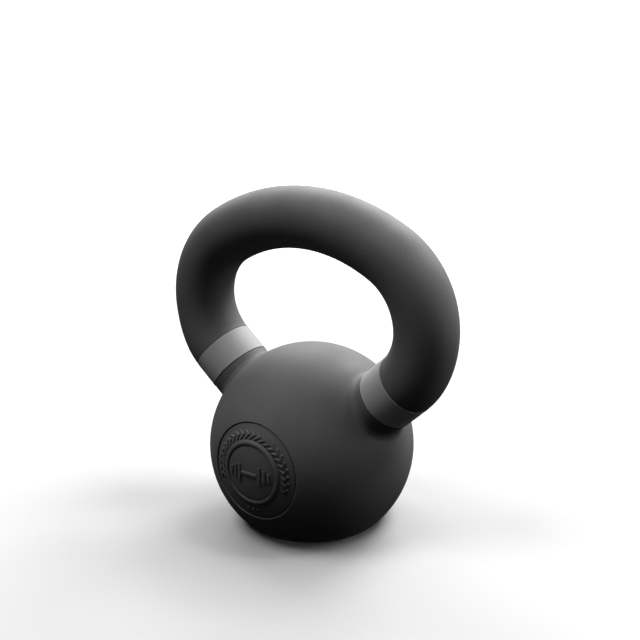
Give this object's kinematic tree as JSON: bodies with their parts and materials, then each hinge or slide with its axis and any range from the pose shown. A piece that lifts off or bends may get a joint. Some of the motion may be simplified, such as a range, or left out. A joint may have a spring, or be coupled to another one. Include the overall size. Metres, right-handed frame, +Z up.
{
  "type": "kettlebell",
  "caption": "Cast iron kettlebell: flat-based ball, closed grip on two leaning horns, a colour band round each horn and a round badge on the front.",
  "frame": {"origin": "centre of the flat rest face, on the surface that the kettlebell stands on", "axes": "+Z up from the rest face to the grip, grip along X, badge facing -Y"},
  "size_m": [0.1864, 0.1167, 0.1923],
  "materials": {
    "powder_coated_iron": "matte",
    "band": "satin",
    "badge": "matte"
  },
  "bodies": {
    "root": {"bell_casting": "powder_coated_iron", "band_left": "band", "band_right": "band", "badge_ring": "badge", "badge_disc": "badge"}
  },
  "joints": []
}
